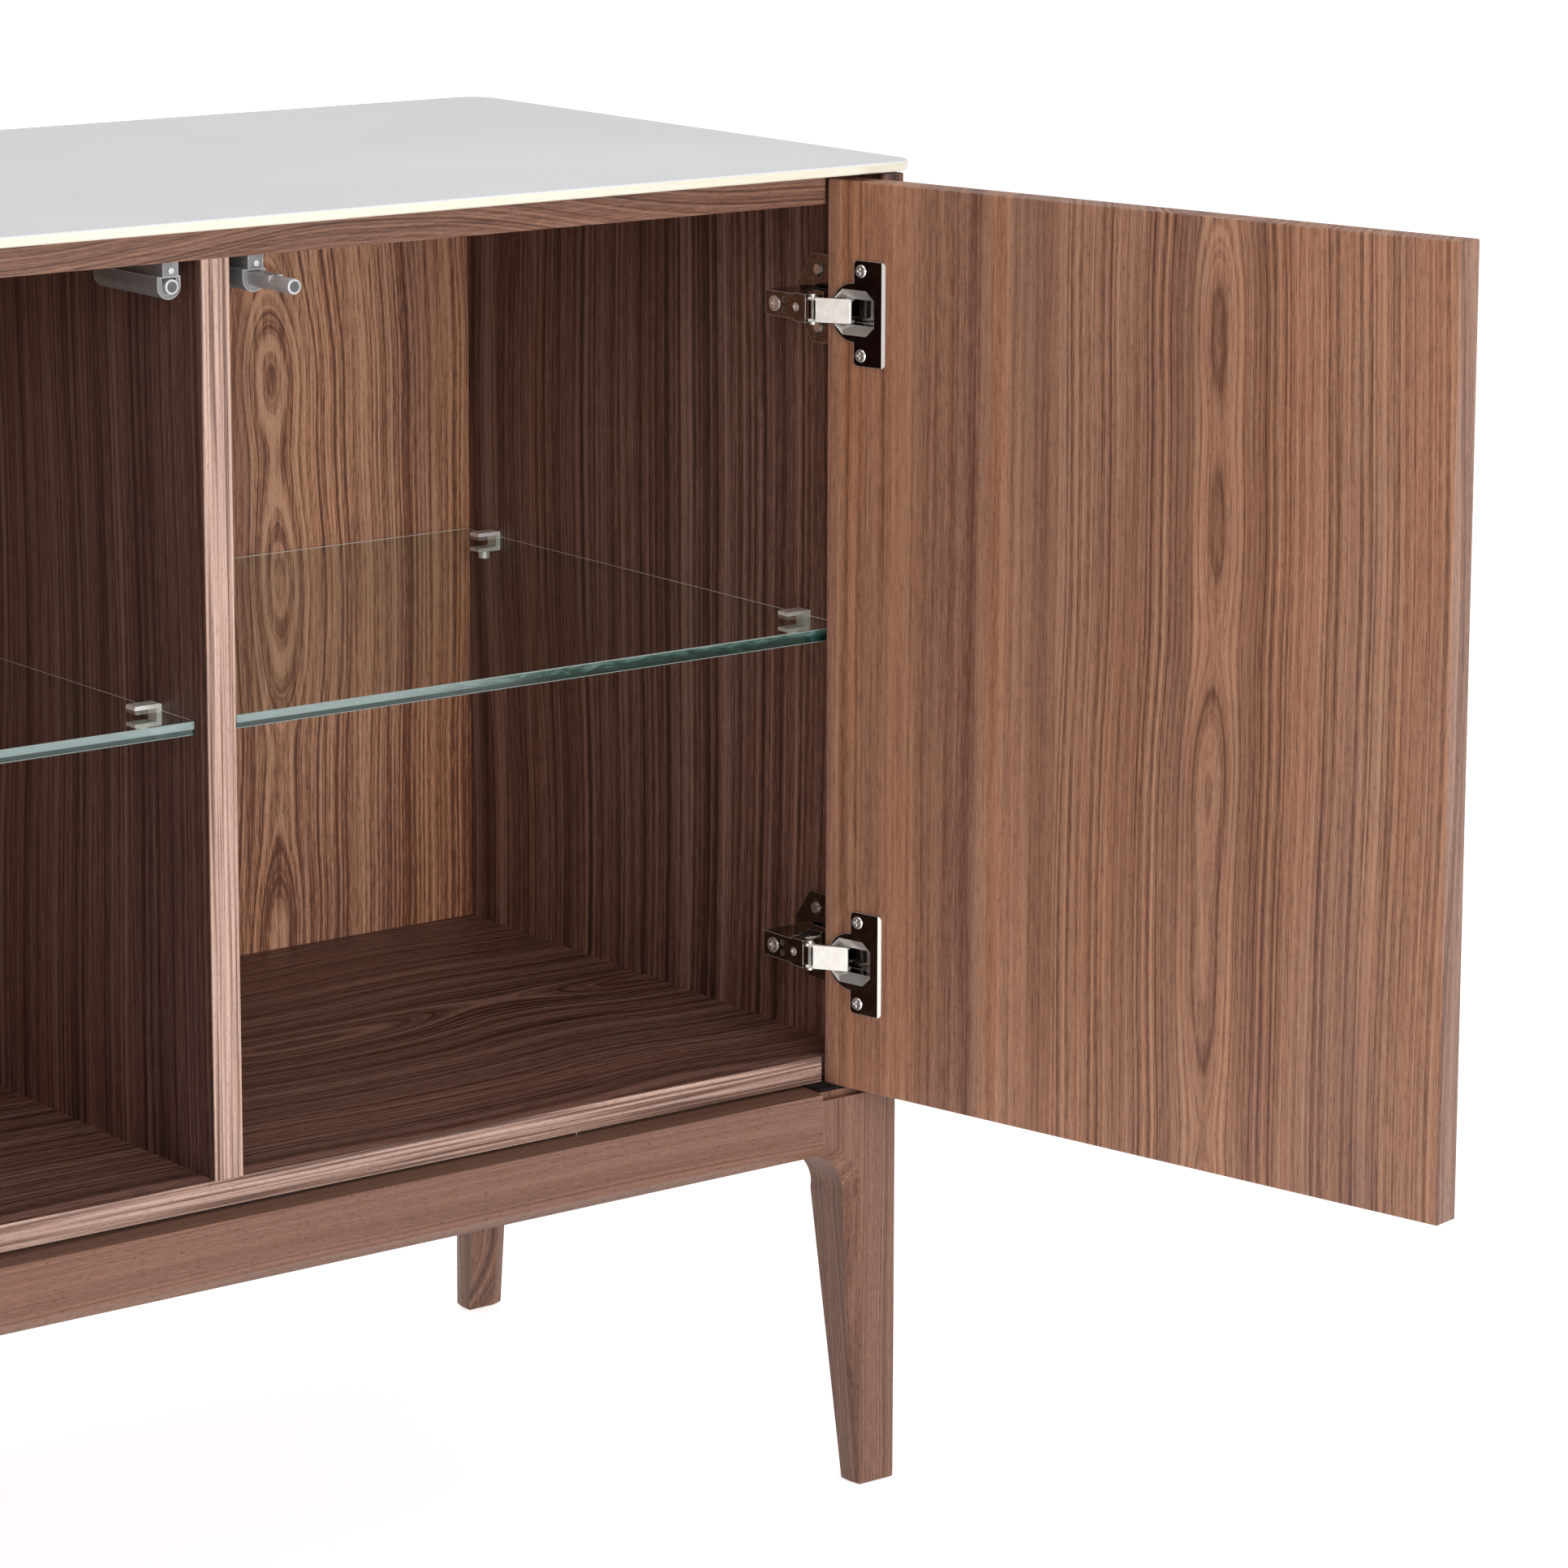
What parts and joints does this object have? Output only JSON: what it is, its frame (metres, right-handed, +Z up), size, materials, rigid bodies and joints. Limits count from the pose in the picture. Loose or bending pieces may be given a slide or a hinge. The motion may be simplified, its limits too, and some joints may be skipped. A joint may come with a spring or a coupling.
{
  "type": "sideboard buffet",
  "caption": "Walnut sideboard on a four-legged base, with a glass top, hinged doors on concealed cup hinges, glass shelves and push latches.",
  "frame": {"origin": "on the floor, under the middle of the cupboard's recessed front edge, which is the front edge of the partition; this is also the middle of the box of the object as it stands with its doors open", "axes": "+X to the right as seen from the front, +Y from the doors to the back panel, +Z up"},
  "size_m": [1.102, 0.9034, 0.844],
  "materials": {
    "walnut_panel": "satin lacquered walnut veneer",
    "walnut_door": "satin lacquered walnut veneer",
    "walnut_base": "satin lacquered walnut",
    "beech": "plain beech",
    "frosted_glass": "satin etched glass, pale grey-white, polished edge",
    "clear_glass": "clear float glass, polished edge",
    "clear_bumper": "soft translucent",
    "polished_nickel": "polished nickel plate",
    "zinc_steel": "zinc plated",
    "latch_housing": "grey satin plastic",
    "latch_metal": "satin grey",
    "latch_cap": "dark grey matte",
    "black_felt": "pressed felt"
  },
  "bodies": {
    "carcass": {"side_panel_right": "walnut_panel", "side_panel_left": "walnut_panel", "floor_panel": "walnut_panel", "top_panel": "walnut_panel", "partition": "walnut_panel", "back_panel": "walnut_panel", "carcass_dowels": "beech", "back_screws": "zinc_steel", "glass_top": "frosted_glass", "top_bumpers": "clear_bumper", "base_rail_front": "walnut_base", "base_rail_rear": "walnut_base", "base_rail_right": "walnut_base", "base_rail_left": "walnut_base", "leg_front_right": "walnut_base", "leg_front_left": "walnut_base", "leg_rear_right": "walnut_base", "leg_rear_left": "walnut_base", "base_dowels": "beech", "base_screws": "zinc_steel", "felt_pads": "black_felt", "shelf_right": "clear_glass", "shelf_left": "clear_glass", "shelf_clamps": "polished_nickel", "shelf_clamp_screws": "polished_nickel", "shelf_clamp_pins": "zinc_steel", "hinge_plates": "polished_nickel", "hinge_plate_screws": "polished_nickel", "hinge_arms": "polished_nickel", "hinge_arm_screws": "polished_nickel", "hinge_arm_pins": "polished_nickel", "latch_housings": "latch_housing", "latch_screws": "zinc_steel"},
    "door_right": {"door_right": "walnut_door", "hinge_cups_right": "polished_nickel", "hinge_cup_pins_right": "polished_nickel", "hinge_cup_screws_right": "polished_nickel"},
    "door_left": {"door_left": "walnut_door", "hinge_cups_left": "polished_nickel", "hinge_cup_pins_left": "polished_nickel", "hinge_cup_screws_left": "polished_nickel"},
    "link_right_lower": {"hinge_link_right_lower": "polished_nickel"},
    "link_right_upper": {"hinge_link_right_upper": "polished_nickel"},
    "link_left_lower": {"hinge_link_left_lower": "polished_nickel"},
    "link_left_upper": {"hinge_link_left_upper": "polished_nickel"},
    "plunger_right": {"latch_plunger_right": "latch_metal", "latch_cap_right": "latch_cap"},
    "plunger_left": {"latch_plunger_left": "latch_metal", "latch_cap_left": "latch_cap"}
  },
  "joints": [
    {"name": "door_right_swing", "type": "hinge", "parent": "carcass", "child": "door_right", "pos_m": [0.4489, -0.013, 0.549], "axis": [0, 0, 1], "range_deg": [-102.35, 2.65]},
    {"name": "door_left_swing", "type": "hinge", "parent": "carcass", "child": "door_left", "pos_m": [-0.4489, -0.013, 0.549], "axis": [0, 0, 1], "range_deg": [-2.65, 102.35]},
    {"name": "link_right_lower_swing", "type": "hinge", "parent": "carcass", "child": "link_right_lower", "pos_m": [0.4285, 0.004, 0.346], "axis": [0, 0, 1], "range_deg": [-1, 32.4]},
    {"name": "link_right_upper_swing", "type": "hinge", "parent": "carcass", "child": "link_right_upper", "pos_m": [0.4285, 0.004, 0.7535], "axis": [0, 0, 1], "range_deg": [-1, 32.4]},
    {"name": "link_left_lower_swing", "type": "hinge", "parent": "carcass", "child": "link_left_lower", "pos_m": [-0.4285, 0.004, 0.346], "axis": [0, 0, 1], "range_deg": [-32.4, 1]},
    {"name": "link_left_upper_swing", "type": "hinge", "parent": "carcass", "child": "link_left_upper", "pos_m": [-0.4285, 0.004, 0.7535], "axis": [0, 0, 1], "range_deg": [-32.4, 1]},
    {"name": "plunger_right_slide", "type": "slide", "parent": "carcass", "child": "plunger_right", "axis": [0, 1, 0], "range_m": [-0.00122, 0.0397]},
    {"name": "plunger_left_press", "type": "slide", "parent": "carcass", "child": "plunger_left", "axis": [0, 1, 0], "range_m": [0, 0.0025]}
  ],
  "couplings": [
    {"joint": "link_right_lower_swing", "follows": "door_right_swing", "ratio": -0.31523},
    {"joint": "link_right_upper_swing", "follows": "door_right_swing", "ratio": -0.31523},
    {"joint": "link_left_lower_swing", "follows": "door_left_swing", "ratio": -0.31523},
    {"joint": "link_left_upper_swing", "follows": "door_left_swing", "ratio": -0.31523},
    {"joint": "plunger_right_slide", "follows": "door_right_swing", "m_per_rad": -0.022112}
  ]
}
